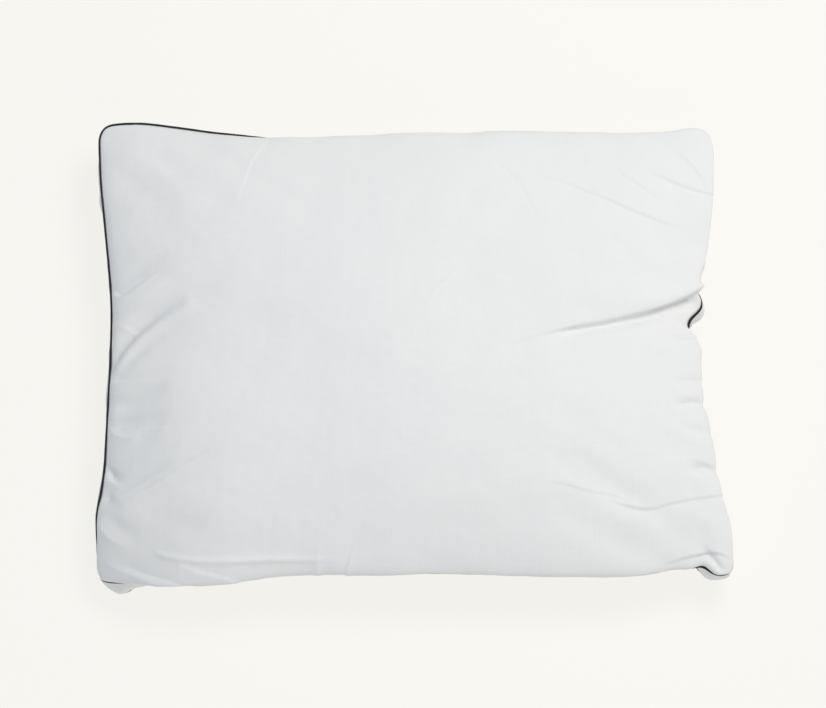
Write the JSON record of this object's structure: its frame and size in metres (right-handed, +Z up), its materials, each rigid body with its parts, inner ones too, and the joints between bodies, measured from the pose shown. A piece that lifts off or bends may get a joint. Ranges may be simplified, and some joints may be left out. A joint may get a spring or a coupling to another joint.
{
  "type": "bed pillow",
  "caption": "Rectangular boxed bed pillow: two crowned cotton panels sewn to an upright gusset strip, with thin dark piping round both seams and a loose fibre fill.",
  "frame": {"origin": "under the middle of the pillow, on the surface that it lies on", "axes": "+X along the pillow's length, +Y towards the rear long side, +Z up through its thickness"},
  "size_m": [0.6578, 0.4916, 0.135],
  "materials": {
    "ticking": "matte",
    "piping": "matte",
    "cord": "matte",
    "fill": "matte",
    "thread": "satin"
  },
  "bodies": {
    "root": {"top_panel": "ticking", "bottom_panel": "ticking", "gusset_strip": "ticking", "top_piping_cover": "piping", "bottom_piping_cover": "piping", "top_piping_cord": "cord", "bottom_piping_cord": "cord", "fibre_fill": "fill", "top_seam_stitching": "thread", "bottom_seam_stitching": "thread", "gusset_join_stitching": "thread"}
  },
  "joints": []
}
